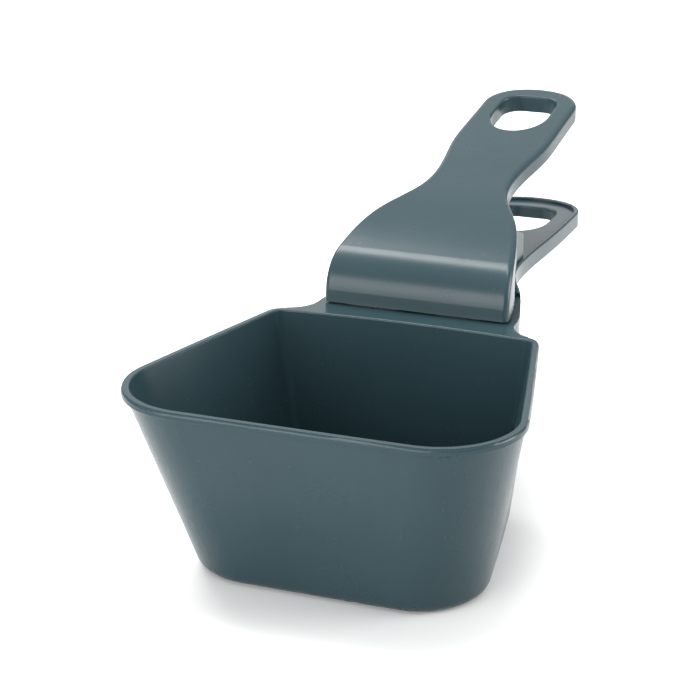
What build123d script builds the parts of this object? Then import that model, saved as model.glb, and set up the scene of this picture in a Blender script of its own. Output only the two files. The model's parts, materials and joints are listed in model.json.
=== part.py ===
from build123d import *
import os
from math import atan2, cos, degrees, hypot, pi, radians, sin, tan

# A moulded plastic feed scoop whose handle is a spring bag clip. The bowl, the neck and the lower
# handle are one moulding. A clip lever turns on a steel pin between two cheeks on the neck: its
# front end is a jaw that closes on the ledge behind the bowl, and its rear end is the upper handle.
# A torsion spring on the pin holds the jaw shut, and squeezing the two handles together opens it.
#
# Millimetres. The origin is the middle of the bowl's flat underside. +X is across the scoop,
# +Y runs from the bowl's front wall to the handles, and +Z is up.

# --- bowl ---------------------------------------------------------------------------------------
RIM_Z = 51.2            # height of the rim above the underside
RIM_FRONT_HALF = 56.0   # half width of the rim at its front corners, before they are rounded
RIM_BACK_HALF = 36.7    # half width of the rim at its back corners
RIM_FRONT_Y = -44.5
RIM_BACK_Y = 35.0
RIM_FRONT_R = 21.3
RIM_BACK_R = 5.0
BASE_FRONT_HALF = 40.4
BASE_BACK_HALF = 30.1
BASE_FRONT_Y = -27.3
BASE_BACK_Y = 34.0
BASE_FRONT_R = 17.7
BASE_BACK_R = 7.0
FRONT_BOW = 0.4         # how far the middle of the front wall bulges out
BACK_BOW = 2.0          # how far the middle of the back wall bulges out
SIDE_BOW = 0.35         # the same for the side walls
BOWL_WALL = 1.6         # at the rim
BOWL_LOW_WALL = 3.4     # at the floor, where the mould's draft leaves it thicker
BOWL_FLOOR = 3.8
BASE_EDGE_R = 4.2       # rounding between the underside and the walls
FLOOR_EDGE_R = 1.4      # rounding between the floor and the walls, inside
CAVITY_BACK_R = 2.8     # back corners of the cavity at the rim
CAVITY_LOW_BACK_R = 1.5  # the same at the floor, where they are almost sharp
CAVITY_RIM_R = 0.45     # rounding of the cavity's upper edge
LIP = 0.35              # how far the rolled lip stands out from the wall
LIP_DEPTH = 2.0
LIP_TOP_R = 0.9
LIP_LOW_R = 0.3

# --- neck and lower handle ----------------------------------------------------------------------
NECK_HALF = 27.6        # half width of the ledge behind its concave corners
NECK_CORNER_R = 8.5     # concave corner between the back wall and the neck
NECK_CORNER_ARC = 72.0  # how much of that corner shows before it meets the back wall, in degrees
LOWER_TIP_Y = 159.0
LOWER_HALF = 16.0       # half width of the lower handle beside its hole
LOWER_TIP_R = 12.5
LOWER_SIDE = [(25.6, 54.5), (21.1, 69.0), (15.8, 82.5), (14.5, 97.0)]  # side from the neck to the waist
LOWER_PLATE = 1.5       # thickness of the top plate over the hollow underside
LOWER_SKIRT = 1.5
LOWER_TIP_DEPTH = 3.6   # depth of the handle below its plate's top at the tip
LOWER_MID_DEPTH = 3.8   # the same beside the hinge
LOWER_MID_Y = 75.0
LOWER_ROOT_DEPTH = 10.0  # the same at the bowl
BEAD_W = 1.6            # raised border round the top of the lower handle
BEAD_H = 0.9
BEAD_EDGE_R = 0.5
BEAD_FRONT_Y = 66.0
LOWER_HOLE_FRONT_Y = 124.5
LOWER_HOLE_BACK_Y = 151.0
LOWER_HOLE_HALF = 9.2

# --- clip lever ---------------------------------------------------------------------------------
JAW_GAP = 0.6           # daylight between the closed jaw and the ledge
JAW_Y = 42.3            # front of the jaw at its lower edge
JAW_LEAN = 84.0         # slope of the jaw's face, in degrees
JAW_FACE = 3.2          # length of the straight stretch of the jaw's face
CREST_R = 13.0
SHOULDER_SLOPE = 25.0   # slope where the crest meets the shoulder
SHOULDER_R = 120.0
HANDLE_SLOPE = 9.0
HANDLE_RUN = 78.0       # length of the straight top of the upper handle
JAW_HALF = 25.8
LEVER_TIP_Y = 157.5
LEVER_HALF = 14.3
LEVER_TIP_R = 11.8
LEVER_SIDE = [(24.4, 52.5), (19.6, 68.5), (13.8, 80.0), (11.9, 90.0), (13.6, 110.0)]  # jaw to handle
LEVER_SKIN = 1.6
LEVER_SKIRT = 1.6
LEVER_DEPTH = 4.8       # depth of the skirt below the top of the lever
JAW_LIP = 3.5           # depth of the thick lip along the jaw's lower edge, front to back
JAW_LIP_H = 3.0
JAW_WALL_BACK_Y = 54.0  # rear edge of the jaw's side walls
JAW_WALL_LIFT = 1.2     # the side walls end this far above the ledge
JAW_WALL_R = 3.0
LEVER_HOLE_FRONT_Y = 124.6
LEVER_HOLE_BACK_Y = 150.6
LEVER_HOLE_HALF = 8.5
HOLE_FRONT_REACH = 12.0  # both handle holes are half an ellipse at the front, this long
HOLE_EDGE_R = 0.7       # rounding of their upper edges
TIP_TURN = 70           # how far the corners of both handles' ends turn, in degrees
HOLE_BACK_R = 5.5       # both handle holes are squarer at the back than at the front
EDGE_R = 1.5            # rounding of the lever's upper edge

# --- hinge --------------------------------------------------------------------------------------
PIVOT_Y = 73.0
PIVOT_Z = 61.5
PIN_R = 1.5
PRESS = 0.01            # the pin is this much larger than its holes in the cheeks
PIN_CLEARANCE = 0.05    # radial running clearance in the lever's ears
CHEEK_OUT = 13.4        # outer face of each cheek
CHEEK_T = 2.0
CHEEK_R = 5.8
CHEEK_BACK_Y = 97.5
CHEEK_BACK_H = 8.1      # height of the cheek's rear edge above the plate
CHEEK_FRONT_Y = 63.0
CHEEK_CORNER_R = 1.5    # upper rear corner
EAR_GAP = 0.5           # between an ear of the lever and a cheek
EAR_T = 2.3
EAR_R = 4.8
EAR_ROOT_Z = 75.0       # where the ears run into the lever
EAR_ROOT_HALF = 9.0     # half length of each ear's root
EAR_ROOT_RISE = 2.0     # rise of the root towards the handle, over half its length

# --- torsion spring -----------------------------------------------------------------------------
WIRE_R = 0.6
COIL_R = 3.0            # to the middle of the wire
COIL_PITCH = 1.35
COIL_WHOLE_TURNS = 6
LEG_Y = 93.0            # where the two legs bear on the handles
LEG_CLEARANCE = 0.15

# --- cutting solids -----------------------------------------------------------------------------
TALL = 120.0            # higher than the whole scoop
OVER = 1.0              # how far a cutting solid runs past what it cuts
UPWARD = 0.9            # a face whose normal has a larger Z than this looks up


def save(node, shape):
    """Write one sub-part under its node name."""
    export_step(shape, f"parts/{node}.step")


def between(low, high, t):
    return low + (high - low) * t


def bowl_section(z, inset, back_r):
    """Horizontal section of the bowl at height z, moved in from the outer wall by inset."""
    t = z / RIM_Z
    front_half = between(BASE_FRONT_HALF, RIM_FRONT_HALF, t)
    back_half = between(BASE_BACK_HALF, RIM_BACK_HALF, t)
    front_y = between(BASE_FRONT_Y, RIM_FRONT_Y, t)
    back_y = between(BASE_BACK_Y, RIM_BACK_Y, t)
    front_r = between(BASE_FRONT_R, RIM_FRONT_R, t)
    corners = [(-front_half, front_y), (front_half, front_y), (back_half, back_y), (-back_half, back_y)]
    side_x = (front_half + back_half) / 2 + SIDE_BOW
    side_y = (front_y + back_y) / 2
    bulges = [(0, front_y - FRONT_BOW), (side_x, side_y), (0, back_y + BACK_BOW), (-side_x, side_y)]
    ends = corners[1:] + corners[:1]
    face = make_face(Curve() + [ThreePointArc(*points) for points in zip(corners, bulges, ends)])
    if inset:
        face = offset(face, -inset, kind=Kind.INTERSECTION)
    front = face.vertices().filter_by(lambda v: v.Y < 0)
    face = fillet(front, front_r - inset)
    back = face.vertices().group_by(Axis.Y)[-1]
    return Pos(0, 0, z) * fillet(back, back_r)


def bowl():
    """The open bowl's outside, with a rounded base and a rolled lip, and its cavity, as two solids."""
    outer = loft([bowl_section(0, 0, BASE_BACK_R), bowl_section(RIM_Z, LIP, RIM_BACK_R)])
    outer = fillet(outer.faces().sort_by(Axis.Z)[0].edges(), BASE_EDGE_R)
    lip = extrude(bowl_section(RIM_Z, 0, RIM_BACK_R), -LIP_DEPTH)
    lip = fillet(lip.faces().sort_by(Axis.Z)[-1].edges(), LIP_TOP_R)
    lip = fillet(lip.faces().sort_by(Axis.Z)[0].edges(), LIP_LOW_R)
    low_section = bowl_section(BOWL_FLOOR, BOWL_LOW_WALL, CAVITY_LOW_BACK_R)
    cavity = loft([low_section, bowl_section(RIM_Z, LIP + BOWL_WALL, CAVITY_BACK_R)])
    cavity = fillet(cavity.faces().sort_by(Axis.Z)[0].edges(), FLOOR_EDGE_R)
    return outer + lip, cavity


def mirrored_face(right_side):
    """Close a right-hand outline, which starts and ends on or beside the centre line, by mirroring it."""
    left_side = [mirror(edge, about=Plane.YZ) for edge in right_side]
    return make_face(Curve() + right_side + left_side)


def hole_face(front_y, back_y, half, margin=0.0):
    """Plan of a handle hole, grown by margin: half an ellipse in front, rounded corners at the back."""
    half_x = half + margin
    side_y = front_y + HOLE_FRONT_REACH
    end_y = back_y + margin
    corner_r = HOLE_BACK_R + margin
    right = [
        EllipticalCenterArc((0, side_y), half_x, HOLE_FRONT_REACH + margin, start_angle=270, arc_size=90),
        Line((half_x, side_y), (half_x, end_y - corner_r)),
        RadiusArc((half_x, end_y - corner_r), (half_x - corner_r, end_y), -corner_r),
        Line((half_x - corner_r, end_y), (0, end_y)),
    ]
    return mirrored_face(right)


def tip(half, tip_y, tip_r):
    """Right half of a handle's end: a corner arc that runs into a flatter arc across the end."""
    turn = radians(TIP_TURN)
    end_r = tip_r + (half - tip_r) / cos(turn)
    end_centre_y = tip_y - end_r
    corner_centre_y = end_centre_y + (end_r - tip_r) * sin(turn)
    corner = CenterArc((half - tip_r, corner_centre_y), tip_r, 0, TIP_TURN)
    return [corner, CenterArc((0, end_centre_y), end_r, TIP_TURN, 90 - TIP_TURN)]


def lower_plan(inset=0.0):
    """Plan of the neck and lower handle, moved inwards by inset: wide at the bowl and waisted."""
    corner_centre = (NECK_HALF + NECK_CORNER_R, RIM_BACK_Y + NECK_CORNER_R)
    corner = CenterArc(corner_centre, NECK_CORNER_R + inset, 180, NECK_CORNER_ARC)
    end = tip(LOWER_HALF - inset, LOWER_TIP_Y - inset, LOWER_TIP_R - inset)
    waist = [(x - inset, y) for x, y in LOWER_SIDE]
    side = Spline(corner @ 0, *waist, end[0] @ 0, tangents=[(0, 1), (0, 1)])
    root_x = (corner @ 1).X
    front_y = BASE_BACK_Y - inset
    inside = Line((0, front_y), (root_x, front_y))
    root = Line((root_x, front_y), corner @ 1)
    return mirrored_face([inside, root, corner, side] + end)


def side_prism(outline, half_width):
    """A closed outline in the Y-Z plane, extruded both ways from the centre plane."""
    return extrude(Plane.YZ * outline, half_width, both=True)


def round_opening(solid, radius):
    """Round the upper edge of the largest opening in the solid's top face."""
    flats = solid.faces().filter_by(GeomType.PLANE)
    upper = flats.filter_by(lambda face: face.normal_at().Z > UPWARD and face.center().Z > RIM_Z / 2)
    openings = upper.sort_by(SortBy.AREA)[-1].inner_wires()
    return fillet(openings.sort_by(SortBy.LENGTH)[-1].edges(), radius)


def lower_arm():
    """Neck, ledge and lower handle: a plate with a skirt below and a raised border on top."""
    plan = lower_plan()
    block = Pos(0, 0, RIM_Z - LOWER_ROOT_DEPTH) * extrude(plan, LOWER_ROOT_DEPTH)
    depth_at_tip = RIM_Z - LOWER_TIP_DEPTH
    depth_at_mid = RIM_Z - LOWER_MID_DEPTH
    root = (BASE_BACK_Y, RIM_Z - LOWER_ROOT_DEPTH)
    handle_slope = (LOWER_MID_DEPTH - LOWER_TIP_DEPTH) / (LOWER_MID_Y - LOWER_TIP_Y)
    back_y = LOWER_TIP_Y + OVER
    underside = Curve() + [
        Line((BASE_BACK_Y, RIM_Z), (back_y, RIM_Z)),
        Line((back_y, RIM_Z), (back_y, depth_at_tip)),
        Line((back_y, depth_at_tip), (LOWER_MID_Y, depth_at_mid)),
        TangentArc((LOWER_MID_Y, depth_at_mid), root, tangent=(-1, handle_slope)),
        Line(root, (BASE_BACK_Y, RIM_Z)),
    ]
    arm = block & side_prism(make_face(underside), RIM_FRONT_HALF)

    hollow_floor = RIM_Z - LOWER_PLATE
    hollow = Pos(0, 0, hollow_floor - LOWER_ROOT_DEPTH) * extrude(lower_plan(LOWER_SKIRT), LOWER_ROOT_DEPTH)
    hollow_length = LOWER_HOLE_FRONT_Y - LOWER_SKIRT - RIM_BACK_Y
    reach = Pos(0, RIM_BACK_Y + hollow_length / 2, RIM_Z) * Box(RIM_FRONT_HALF, hollow_length, TALL)
    arm -= hollow & reach

    border = extrude(plan - lower_plan(BEAD_W), RIM_Z + BEAD_H)
    bead_length = LOWER_TIP_Y - BEAD_FRONT_Y + OVER
    bead_reach = Box(RIM_FRONT_HALF, bead_length, 2 * BEAD_H)
    bead = border & (Pos(0, BEAD_FRONT_Y + bead_length / 2, RIM_Z) * bead_reach)
    arm += fillet(bead.faces().sort_by(Axis.Z)[-1].edges(), BEAD_EDGE_R)

    hole = extrude(hole_face(LOWER_HOLE_FRONT_Y, LOWER_HOLE_BACK_Y, LOWER_HOLE_HALF), TALL)
    return round_opening(arm - hole, HOLE_EDGE_R)


def on_both_sides(outline, inner_x, thickness):
    """Two plates with the same outline in the Y-Z plane, one at each side of the centre plane."""
    right = Pos(inner_x, 0, 0) * extrude(Plane.YZ * outline, thickness)
    return right + mirror(right, about=Plane.YZ)


def cross_bar(radius, half_length):
    """A cylinder along the hinge axis."""
    return Pos(0, PIVOT_Y, PIVOT_Z) * Rot(0, 90, 0) * Cylinder(radius, 2 * half_length)


def cheeks():
    """The two cheeks on the neck that carry the hinge pin."""
    low = RIM_Z - LOWER_PLATE / 2
    boss = Pos(PIVOT_Y, PIVOT_Z) * Circle(CHEEK_R)
    foot = Polyline(
        (CHEEK_FRONT_Y, low), (CHEEK_BACK_Y, low), (CHEEK_BACK_Y, RIM_Z + CHEEK_BACK_H), close=True
    )
    outline = make_hull(boss.edges() + foot.edges())
    rear_corner = outline.vertices().group_by(Axis.X)[-1].sort_by(Axis.Y)[-1]
    return on_both_sides(fillet(rear_corner, CHEEK_CORNER_R), CHEEK_OUT - CHEEK_T, CHEEK_T)


def scoop_body():
    """Bowl, neck, lower handle and hinge cheeks, moulded in one piece."""
    outside, cavity = bowl()
    body = round_opening(outside + lower_arm() - cavity, CAVITY_RIM_R)
    return body + cheeks() - cross_bar(PIN_R - PRESS, CHEEK_OUT + OVER)


def lever_plan(inset=0.0):
    """Plan of the clip lever, moved inwards by inset: jaw, tapering shoulder, waist and upper handle."""
    end = tip(LEVER_HALF - inset, LEVER_TIP_Y - inset, LEVER_TIP_R - inset)
    waist = [(x - inset, y) for x, y in LEVER_SIDE]
    front_y = JAW_Y - OVER
    front_x = JAW_HALF - inset
    front = Line((0, front_y), (front_x, front_y))
    side = Spline((front_x, front_y), *waist, end[0] @ 0, tangents=[(0, 1), (0, 1)])
    return mirrored_face([front, side] + end)


def lever_top():
    """Side view of the lever's top from the jaw's lower edge to the handle's end, as edges."""
    start = Vector(JAW_Y, RIM_Z + JAW_GAP)
    lean = Vector(cos(radians(JAW_LEAN)), sin(radians(JAW_LEAN)))
    face = Line(start, start + lean * JAW_FACE)
    crest = JernArc(face @ 1, face % 1, CREST_R, SHOULDER_SLOPE - JAW_LEAN)
    shoulder = JernArc(crest @ 1, crest % 1, SHOULDER_R, HANDLE_SLOPE - SHOULDER_SLOPE)
    handle = Line(shoulder @ 1, shoulder @ 1 + (shoulder % 1) * HANDLE_RUN)
    return [face, crest, shoulder, handle]


def band(thickness):
    """Side view of the layer this thick under the lever's top."""
    top = lever_top()
    under = offset(Curve() + top, thickness, side=Side.RIGHT, closed=True)
    return make_face(under)


def lever_block():
    """The lever's whole outside as one block, with its upper edges rounded."""
    top = Curve() + lever_top()
    first = top @ 0
    last = top @ 1
    side_view = make_face(top + Polyline(last, (last.X, first.Y), first))
    block = extrude(lever_plan(), TALL) & side_prism(side_view, RIM_FRONT_HALF)
    upper = block.faces().filter_by(lambda face: face.normal_at().Z > cos(radians(JAW_LEAN)) / 2)
    edges = [edge for face in upper for edge in face.edges() if edge.center().Z > first.Y + OVER]
    outside = [edge for edge in edges if sum(edge.is_same(other) for other in edges) == 1]
    return fillet(outside, EDGE_R)


def clip_lever():
    """Jaw, shoulder, hinge ears and upper handle, moulded as a shell that is open below."""
    block = lever_block()
    hole = LEVER_HOLE_FRONT_Y, LEVER_HOLE_BACK_Y, LEVER_HOLE_HALF
    core = extrude(lever_plan(LEVER_SKIRT), TALL)
    collar = extrude(hole_face(*hole, margin=LEVER_SKIRT), TALL)
    skin = side_prism(band(LEVER_SKIN), RIM_FRONT_HALF)
    deep = side_prism(band(LEVER_DEPTH), RIM_FRONT_HALF)
    skirt = deep - core
    lever = block & (skin + skirt + (deep & collar) + jaw_lip() + (jaw_walls() - core) + hinge_ears())
    lever = round_opening(lever - extrude(hole_face(*hole), TALL), HOLE_EDGE_R)
    return lever - cross_bar(PIN_R + PIN_CLEARANCE, CHEEK_OUT + OVER)


def jaw_lip():
    """The thick lip behind the jaw's lower edge, which grips the bag against the ledge."""
    low = RIM_Z + JAW_GAP
    back = JAW_Y + JAW_LIP
    top = low + JAW_LIP_H
    outline = Polyline((JAW_Y, low), (back, low), (back, top), (JAW_Y, top), close=True)
    return side_prism(make_face(outline), JAW_HALF)


def jaw_walls():
    """The jaw's two side walls, with a rounded lower rear corner."""
    low = RIM_Z + JAW_WALL_LIFT
    outline = make_face(Polyline(
        (JAW_Y, low), (JAW_WALL_BACK_Y, low), (JAW_WALL_BACK_Y, TALL), (JAW_Y, TALL), close=True,
    ))
    corner = outline.vertices().group_by(Axis.Y)[0].sort_by(Axis.X)[-1]
    return on_both_sides(fillet(corner, JAW_WALL_R), JAW_HALF - 3 * LEVER_SKIRT, 4 * LEVER_SKIRT)


def hinge_ears():
    """Two ears under the lever that turn on the pin, just inside the cheeks."""
    eye = Pos(PIVOT_Y, PIVOT_Z) * Circle(EAR_R)
    root_front = (PIVOT_Y - EAR_ROOT_HALF, EAR_ROOT_Z - EAR_ROOT_RISE)
    root_back = (PIVOT_Y + EAR_ROOT_HALF, EAR_ROOT_Z + EAR_ROOT_RISE)
    root = Line(root_front, root_back)
    outline = make_hull(eye.edges() + root.edges())
    outer_x = CHEEK_OUT - CHEEK_T - EAR_GAP
    return on_both_sides(outline, outer_x - EAR_T, EAR_T)


def hinge_pin():
    """The steel pin, pressed into the cheeks, with broken edges."""
    pin = cross_bar(PIN_R, CHEEK_OUT)
    return chamfer(pin.edges().filter_by(GeomType.CIRCLE), 0.3)


def leg_line(target, side):
    """Direction and length of a straight leg that leaves the coil's circle and ends at target.

    side is +1 for the leg that leaves the top of the coil and -1 for the one at its bottom."""
    away = Vector(*target) - Vector(PIVOT_Y, PIVOT_Z)
    length = (away.length ** 2 - COIL_R ** 2) ** 0.5
    return atan2(away.Y, away.X) - side * atan2(COIL_R, length), length


def lever_underside_z(y):
    """Height of the skin's underside on the straight stretch of the handle."""
    shoulder_end = lever_top()[2] @ 1
    drop = LEVER_SKIN / cos(radians(HANDLE_SLOPE))
    return shoulder_end.Y + (y - shoulder_end.X) * tan(radians(HANDLE_SLOPE)) - drop


def torsion_spring():
    """A close-wound coil on the pin, whose two legs push the handles apart."""
    low_target = (LEG_Y, RIM_Z + WIRE_R + LEG_CLEARANCE)
    high_target = (LEG_Y, lever_underside_z(LEG_Y) - WIRE_R - LEG_CLEARANCE)
    low_angle, low_length = leg_line(low_target, -1)
    high_angle, high_length = leg_line(high_target, 1)
    start = high_angle + pi / 2
    turns = COIL_WHOLE_TURNS + (low_angle - pi / 2 - start) / (2 * pi) % 1
    height = turns * COIL_PITCH
    coil = Rot(0, 0, degrees(start)) * Helix(COIL_PITCH, height, COIL_R, center=(0, 0, -height / 2))
    climb = hypot(1, COIL_PITCH / (2 * pi * COIL_R))
    high_leg = Line(coil @ 0 - (coil % 0) * high_length * climb, coil @ 0)
    low_leg = Line(coil @ 1, coil @ 1 + (coil % 1) * low_length * climb)
    path = Wire([high_leg, coil, low_leg])
    section = Plane(origin=high_leg @ 0, z_dir=high_leg % 0) * Circle(WIRE_R)
    hinge_plane = Plane(origin=(0, PIVOT_Y, PIVOT_Z), x_dir=(0, 1, 0), z_dir=(1, 0, 0))
    return hinge_plane.location * sweep(section, path=path)


def main():
    os.makedirs("parts", exist_ok=True)
    save("scoop_body", scoop_body())
    save("clip_lever", clip_lever())
    save("hinge_pin", hinge_pin())
    save("torsion_spring", torsion_spring())


if __name__ == "__main__":
    main()
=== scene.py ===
import json
from math import atan2, cos, hypot, pi, radians, sin

import bmesh
import bpy
from mathutils import Matrix, Vector


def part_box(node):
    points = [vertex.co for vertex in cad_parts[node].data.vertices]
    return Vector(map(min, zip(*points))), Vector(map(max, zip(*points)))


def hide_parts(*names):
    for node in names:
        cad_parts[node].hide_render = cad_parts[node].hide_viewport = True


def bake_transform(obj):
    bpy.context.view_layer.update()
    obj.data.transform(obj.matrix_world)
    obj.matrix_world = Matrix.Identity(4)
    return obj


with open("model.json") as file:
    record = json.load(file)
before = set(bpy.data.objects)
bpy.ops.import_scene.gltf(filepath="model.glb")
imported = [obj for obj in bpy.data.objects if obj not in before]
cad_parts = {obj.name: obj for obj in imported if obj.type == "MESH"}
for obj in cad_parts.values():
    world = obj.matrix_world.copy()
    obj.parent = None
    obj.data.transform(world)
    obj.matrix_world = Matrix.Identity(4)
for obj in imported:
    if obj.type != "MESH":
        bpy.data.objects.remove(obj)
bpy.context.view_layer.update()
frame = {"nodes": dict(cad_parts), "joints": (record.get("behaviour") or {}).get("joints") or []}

SCENE = bpy.context.scene
NODES = frame["nodes"]
HINGE = Vector(frame["joints"][0]["pos_m"])

# --- floor --------------------------------------------------------------------------------------
FLOOR_GAP = 0.0002                   # keeps the floor's face clear of the base's
FLOOR_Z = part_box("scoop_body")[0].z - FLOOR_GAP
FLOOR_HALF_SIZE = 8.0
FLOOR_GREY = 0.73

# --- camera -------------------------------------------------------------------------------------
CAMERA_AZIMUTH = radians(21.24)      # towards +X from straight in front of the bowl
CAMERA_ELEVATION = radians(20.0)
CAMERA_ROLL = radians(-0.21)
CAMERA_PLACE = (0.17599, -0.45726, 0.23374)
LENS_MM = 108.88
SENSOR_MM = 36.0

# --- look ---------------------------------------------------------------------------------------
PLASTIC_COLOUR = (0.017, 0.036, 0.043)
STEEL_COLOUR = (0.56, 0.56, 0.57)
NOISE_SPAN = (0.3, 0.7)              # holds nearly all of a noise texture's values

# --- spring sizes -------------------------------------------------------------------------------
WIRE_R = 0.0006
COIL_R = 0.003                       # to the middle of the wire
COIL_PITCH = 0.00135
COIL_WHOLE_TURNS = 6
UPPER_LEG_END = (0.020, 0.01304)     # behind and above the pin's axis
LOWER_LEG_END = (0.020, -0.00955)
COIL_STEPS = 40                      # to a turn
LEG_STEPS = 8
WIRE_SIDES = 14
CAP_STEPS = 4                        # rounding of the wire's cut ends
CAP_LENGTH = 0.5                     # to the wire's radius


def linked(obj):
    """The object, once it is in the scene."""
    SCENE.collection.objects.link(obj)
    return obj


def node(tree, kind, inputs=None, **settings):
    """A new shader node with some of its inputs and settings filled in."""
    made = tree.nodes.new(kind)
    for name, value in settings.items():
        setattr(made, name, value)
    for name, value in (inputs or {}).items():
        made.inputs[name].default_value = value
    return made


def place_camera():
    """The camera stands at the photograph's viewpoint and looks along its line of sight."""
    forward = Vector((
        -sin(CAMERA_AZIMUTH) * cos(CAMERA_ELEVATION),
        cos(CAMERA_AZIMUTH) * cos(CAMERA_ELEVATION),
        -sin(CAMERA_ELEVATION),
    ))
    level_right = Vector((cos(CAMERA_AZIMUTH), sin(CAMERA_AZIMUTH), 0))
    level_up = level_right.cross(forward)
    right = cos(CAMERA_ROLL) * level_right + sin(CAMERA_ROLL) * level_up
    up = right.cross(forward)
    data = bpy.data.cameras.new("camera")
    data.lens = LENS_MM
    data.sensor_width = SENSOR_MM
    data.clip_start = 0.01
    camera = linked(bpy.data.objects.new("camera", data))
    turn = Matrix((right, up, -forward)).transposed()
    camera.matrix_world = Matrix.Translation(CAMERA_PLACE) @ turn.to_4x4()
    SCENE.camera = camera


# --- studio -------------------------------------------------------------------------------------
# Height and brightness, where height is 0 straight down, 0.5 at the horizon and 1 overhead.
SKY = [(0.0, 0.15), (0.50, 0.20), (0.60, 0.40), (0.75, 0.82), (0.90, 1.30), (1.0, 1.50)]
BOX_TARGET = (0, 0.04, 0.05)         # the jaw's end of the bowl
BOXES = [  # name, place, width, height, watts
    ("crest_box", (-0.27, 0.18, 0.82), 0.20, 1.1, 13.0),
    ("jaw_box", (-0.30, -0.90, 0.26), 1.0, 0.50, 13.0),
    ("right_box", (0.80, 0.30, 0.24), 0.5, 0.4, 8.0),
    ("back_box", (-0.45, 1.35, 0.42), 1.2, 0.30, 1.4),
]


def area_light(name, place, width, height, watts):
    """A soft box at place, facing the scoop."""
    data = bpy.data.lights.new(name, "AREA")
    data.shape = "RECTANGLE"
    data.size = width
    data.size_y = height
    data.energy = watts
    lamp = linked(bpy.data.objects.new(name, data))
    aim = Vector(BOX_TARGET) - Vector(place)
    lamp.location = place
    lamp.rotation_euler = aim.to_track_quat("-Z", "Y").to_euler()


def light_studio():
    """A dome that is dim at the horizon and bright overhead, with four soft boxes."""
    SCENE.view_settings.view_transform = "Standard"
    world = bpy.data.worlds.new("studio")
    SCENE.world = world
    world.use_nodes = True
    tree = world.node_tree
    heading = node(tree, "ShaderNodeTexCoord").outputs["Generated"]
    split = node(tree, "ShaderNodeSeparateXYZ")
    tree.links.new(heading, split.inputs["Vector"])
    height = node(tree, "ShaderNodeMapRange", {"From Min": -1.0, "From Max": 1.0})
    tree.links.new(split.outputs["Z"], height.inputs["Value"])
    ramp = node(tree, "ShaderNodeFloatCurve")
    curve = ramp.mapping.curves[0]
    peak = max(brightness for level, brightness in SKY)
    curve.points[0].location = (0.0, SKY[0][1] / peak)
    curve.points[1].location = (1.0, SKY[-1][1] / peak)
    for level, brightness in SKY[1:-1]:
        curve.points.new(level, brightness / peak)
    ramp.mapping.update()
    tree.links.new(height.outputs["Result"], ramp.inputs["Value"])
    gain = node(tree, "ShaderNodeMath", {1: peak}, operation="MULTIPLY")
    tree.links.new(ramp.outputs["Value"], gain.inputs[0])
    tree.links.new(gain.outputs["Value"], tree.nodes["Background"].inputs["Strength"])
    tree.nodes["Background"].inputs["Color"].default_value = (1, 1, 1, 1)
    for box in BOXES:
        area_light(*box)


def lay_floor():
    """A wide white floor under the scoop."""
    mesh = bpy.data.meshes.new("floor")
    build = bmesh.new()
    bmesh.ops.create_grid(build, x_segments=1, y_segments=1, size=FLOOR_HALF_SIZE)
    build.to_mesh(mesh)
    build.free()
    floor = linked(bpy.data.objects.new("floor", mesh))
    floor.location.z = FLOOR_Z
    material, shader = new_material("floor")
    shader.inputs["Base Color"].default_value = (FLOOR_GREY, FLOOR_GREY, FLOOR_GREY, 1)
    shader.inputs["Roughness"].default_value = 0.9
    shader.inputs["Specular IOR Level"].default_value = 0.1
    mesh.materials.append(material)


# --- materials ----------------------------------------------------------------------------------
def new_material(name):
    """A new material and its shader."""
    material = bpy.data.materials.new(name)
    material.use_nodes = True
    return material, material.node_tree.nodes["Principled BSDF"]


def noise(tree, coordinates, scale, detail, roughness):
    """A factor from 0 to 1 that wanders about scale times in a metre."""
    settings = {"Scale": scale, "Detail": detail, "Roughness": roughness}
    made = node(tree, "ShaderNodeTexNoise", settings)
    tree.links.new(coordinates, made.inputs["Vector"])
    return made.outputs["Fac"]


def spread(tree, fac, low, high):
    """Map a noise factor onto low to high."""
    ends = {"To Min": low, "To Max": high, "From Min": NOISE_SPAN[0], "From Max": NOISE_SPAN[1]}
    made = node(tree, "ShaderNodeMapRange", ends)
    tree.links.new(fac, made.inputs["Value"])
    return made.outputs["Result"]


def tones(tree, fac, colour, darkest, lightest):
    """The colour times darkest to lightest, following a noise factor."""
    made = node(tree, "ShaderNodeValToRGB")
    for stop, place, tone in zip(made.color_ramp.elements, NOISE_SPAN, (darkest, lightest)):
        stop.position = place
        stop.color = (*[channel * tone for channel in colour], 1)
    tree.links.new(fac, made.inputs["Fac"])
    return made.outputs["Color"]


def moulded_plastic(name, colour):
    """Satin injection-moulded plastic: a fine spark-eroded grain, slight flow marks and tone drift."""
    material, shader = new_material(name)
    tree = material.node_tree
    place = node(tree, "ShaderNodeTexCoord").outputs["Object"]
    drift = noise(tree, place, scale=28.0, detail=4.0, roughness=0.5)
    colours = tones(tree, drift, colour, darkest=0.94, lightest=1.06)
    tree.links.new(colours, shader.inputs["Base Color"])
    flow = noise(tree, place, scale=90.0, detail=5.0, roughness=0.6)
    tree.links.new(spread(tree, flow, low=0.25, high=0.28), shader.inputs["Roughness"])
    grain = noise(tree, place, scale=2600.0, detail=2.0, roughness=0.6)
    bump = node(tree, "ShaderNodeBump", {"Strength": 0.05, "Distance": 0.00008})
    tree.links.new(grain, bump.inputs["Height"])
    tree.links.new(bump.outputs["Normal"], shader.inputs["Normal"])
    shader.inputs["IOR"].default_value = 1.49
    shader.inputs["Specular IOR Level"].default_value = 0.22
    return material


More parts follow.
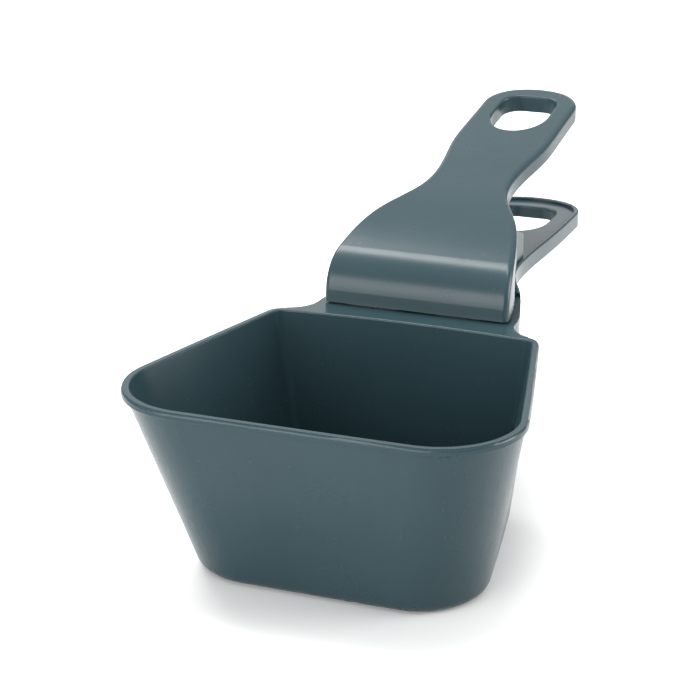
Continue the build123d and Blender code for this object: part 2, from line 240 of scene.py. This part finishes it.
def drawn_steel(name, colour, roughness):
    """Drawn wire or bar: bright metal with fine streaks along X."""
    material, shader = new_material(name)
    tree = material.node_tree
    place = node(tree, "ShaderNodeTexCoord").outputs["Object"]
    streak_space = node(tree, "ShaderNodeMapping", {"Scale": (1.0, 14.0, 14.0)})
    tree.links.new(place, streak_space.inputs["Vector"])
    streaks = noise(tree, streak_space.outputs["Vector"], scale=400.0, detail=4.0, roughness=0.6)
    colours = tones(tree, streaks, colour, darkest=0.85, lightest=1.1)
    tree.links.new(colours, shader.inputs["Base Color"])
    shine = spread(tree, streaks, low=roughness - 0.06, high=roughness + 0.08)
    tree.links.new(shine, shader.inputs["Roughness"])
    bump = node(tree, "ShaderNodeBump", {"Strength": 0.15, "Distance": 0.00002})
    tree.links.new(streaks, bump.inputs["Height"])
    tree.links.new(bump.outputs["Normal"], shader.inputs["Normal"])
    shader.inputs["Metallic"].default_value = 1.0
    return material


def dress(cad_node, material):
    """Give a CAD node its finished material."""
    mesh = NODES[cad_node].data
    mesh.materials.clear()
    mesh.materials.append(material)


# --- torsion spring -----------------------------------------------------------------------------
def leg_line(end, side):
    """Direction and length of a leg from the coil's circle to end; side is +1 for the upper."""
    away = hypot(*end)
    length = (away ** 2 - COIL_R ** 2) ** 0.5
    return atan2(end[1], end[0]) - side * atan2(COIL_R, length), length


def spring_route():
    """Middle line of the wire about the pin, upper leg, coil and lower leg, and half the coil's length."""
    upper_angle, upper_length = leg_line(UPPER_LEG_END, 1)
    lower_angle, lower_length = leg_line(LOWER_LEG_END, -1)
    start = upper_angle + pi / 2
    turns = COIL_WHOLE_TURNS + (lower_angle - pi / 2 - start) / (2 * pi) % 1
    half = turns * COIL_PITCH / 2
    climb = COIL_PITCH / (2 * pi * COIL_R)
    steps = round(turns * COIL_STEPS)
    coil = []
    for step in range(steps + 1):
        angle = start + 2 * pi * turns * step / steps
        along = -half + 2 * half * step / steps
        coil.append(Vector((along, COIL_R * cos(angle), COIL_R * sin(angle))))
    upper_way = Vector((-climb, cos(upper_angle), sin(upper_angle)))
    lower_way = Vector((climb, cos(lower_angle), sin(lower_angle)))
    steps_out = range(1, LEG_STEPS + 1)
    upper_leg = [coil[0] + upper_way * upper_length * step / LEG_STEPS for step in reversed(steps_out)]
    lower_leg = [coil[-1] + lower_way * lower_length * step / LEG_STEPS for step in steps_out]
    return upper_leg + coil + lower_leg, half


def capped(route, radius):
    """The route's points with the wire's radius at each, its two ends rounded over."""
    first = (route[1] - route[0]).normalized()
    last = (route[-1] - route[-2]).normalized()
    head = []
    tail = []
    for step in range(1, CAP_STEPS):
        angle = pi / 2 * step / CAP_STEPS
        inward = radius * CAP_LENGTH * (1 - sin(angle))
        width = radius * cos(angle)
        head.insert(0, (route[0] + first * inward, width))
        tail.append((route[-1] - last * inward, width))
    body = [(point, radius) for point in route[1:-1]]
    return head + body + tail


def wire_mesh(name, route, radius):
    """A round wire along the route, with a frame carried along it so that it doesn't twist."""
    build = bmesh.new()
    stations = capped(route, radius)
    points = [point for point, width in stations]
    across = (points[1] - points[0]).orthogonal().normalized()
    rings = []
    for index, (point, width) in enumerate(stations):
        ahead = points[min(index + 1, len(points) - 1)]
        behind = points[max(index - 1, 0)]
        way = (ahead - behind).normalized()
        across = (across - way * across.dot(way)).normalized()
        side = way.cross(across)
        ring = []
        for spoke in range(WIRE_SIDES):
            turn = 2 * pi * spoke / WIRE_SIDES
            ring.append(build.verts.new(point + width * (cos(turn) * across + sin(turn) * side)))
        rings.append(ring)
    for low, high in zip(rings, rings[1:]):
        for spoke in range(WIRE_SIDES):
            after = (spoke + 1) % WIRE_SIDES
            build.faces.new((low[spoke], low[after], high[after], high[spoke]))
    build.faces.new(reversed(rings[0]))
    build.faces.new(rings[-1])
    bmesh.ops.recalc_face_normals(build, faces=build.faces)
    for face in build.faces:
        face.smooth = len(face.verts) == 4
    mesh = bpy.data.meshes.new(name)
    build.to_mesh(mesh)
    build.free()
    return mesh


def torsion_spring(material):
    """The spring's wire, coiled about the pin in its rest pose in place of the hidden CAD spring; on the
    real scoop it winds up as the lever opens.
    """
    route, half = spring_route()
    mesh = wire_mesh("spring_wire", [HINGE + point for point in route], WIRE_R)
    mesh.materials.append(material)
    spring = linked(bpy.data.objects.new("spring_wire", mesh))
    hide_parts("torsion_spring")
    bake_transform(spring)


def main():
    """The camera, the studio and the four pieces' finished looks."""
    place_camera()
    light_studio()
    lay_floor()
    plastic = moulded_plastic("slate_plastic", PLASTIC_COLOUR)
    dress("scoop_body", plastic)
    dress("clip_lever", plastic)
    dress("hinge_pin", drawn_steel("pin_steel", STEEL_COLOUR, roughness=0.28))
    torsion_spring(drawn_steel("spring_steel", STEEL_COLOUR, roughness=0.24))


main()
